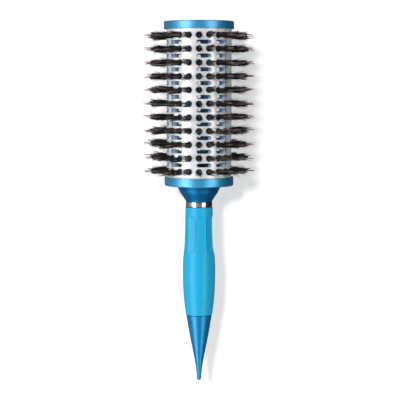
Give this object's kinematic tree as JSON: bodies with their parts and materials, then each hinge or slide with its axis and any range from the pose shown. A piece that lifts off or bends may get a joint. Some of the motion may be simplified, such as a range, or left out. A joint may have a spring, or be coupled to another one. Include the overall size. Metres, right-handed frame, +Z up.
{
  "type": "round barrel brush",
  "caption": "Round thermal barrel brush with a vented metal barrel, mixed boar and nylon tufts, a soft grip and a pointed sectioning tail.",
  "frame": {"origin": "on the surface that the brush lies on, under the middle of its overall box; the barrel's axis is 39.7 mm above it", "axes": "+Y along the brush's axis towards the barrel's closed end, +Z up through a column of tufts, +X to the right when the tail points at the viewer"},
  "size_m": [0.0794, 0.2566, 0.0794],
  "materials": {
    "anodised_blue": "polished blue anodising",
    "anodised_neck": "satin blue anodising",
    "cap_plastic": "gloss",
    "pearl_aluminium": "pearly satin coating",
    "core_plastic": "satin",
    "bristle": "hair-like, boar hair with nylon strands",
    "dark_plastic": "moulded",
    "chrome_band": "polished",
    "soft_grip": "soft-touch matte",
    "lacquered_blue": "metallic lacquer",
    "zinc_steel": "zinc plated"
  },
  "bodies": {
    "root": {"end_collar": "anodised_blue", "end_plug": "cap_plastic", "barrel_sleeve": "pearl_aluminium", "bristle_core": "core_plastic", "tuft_row_01": "bristle", "tuft_row_02": "bristle", "tuft_row_03": "bristle", "tuft_row_04": "bristle", "tuft_row_05": "bristle", "tuft_row_06": "bristle", "tuft_row_07": "bristle", "tuft_row_08": "bristle", "tuft_row_09": "bristle", "tuft_row_10": "bristle", "tuft_row_11": "bristle", "base_collar": "anodised_blue", "barrel_hub": "dark_plastic", "neck": "anodised_neck", "ferrule": "chrome_band", "handle_stem": "dark_plastic", "grip": "soft_grip", "tail": "lacquered_blue", "hub_screw": "zinc_steel", "hub_washer": "zinc_steel"}
  },
  "joints": []
}
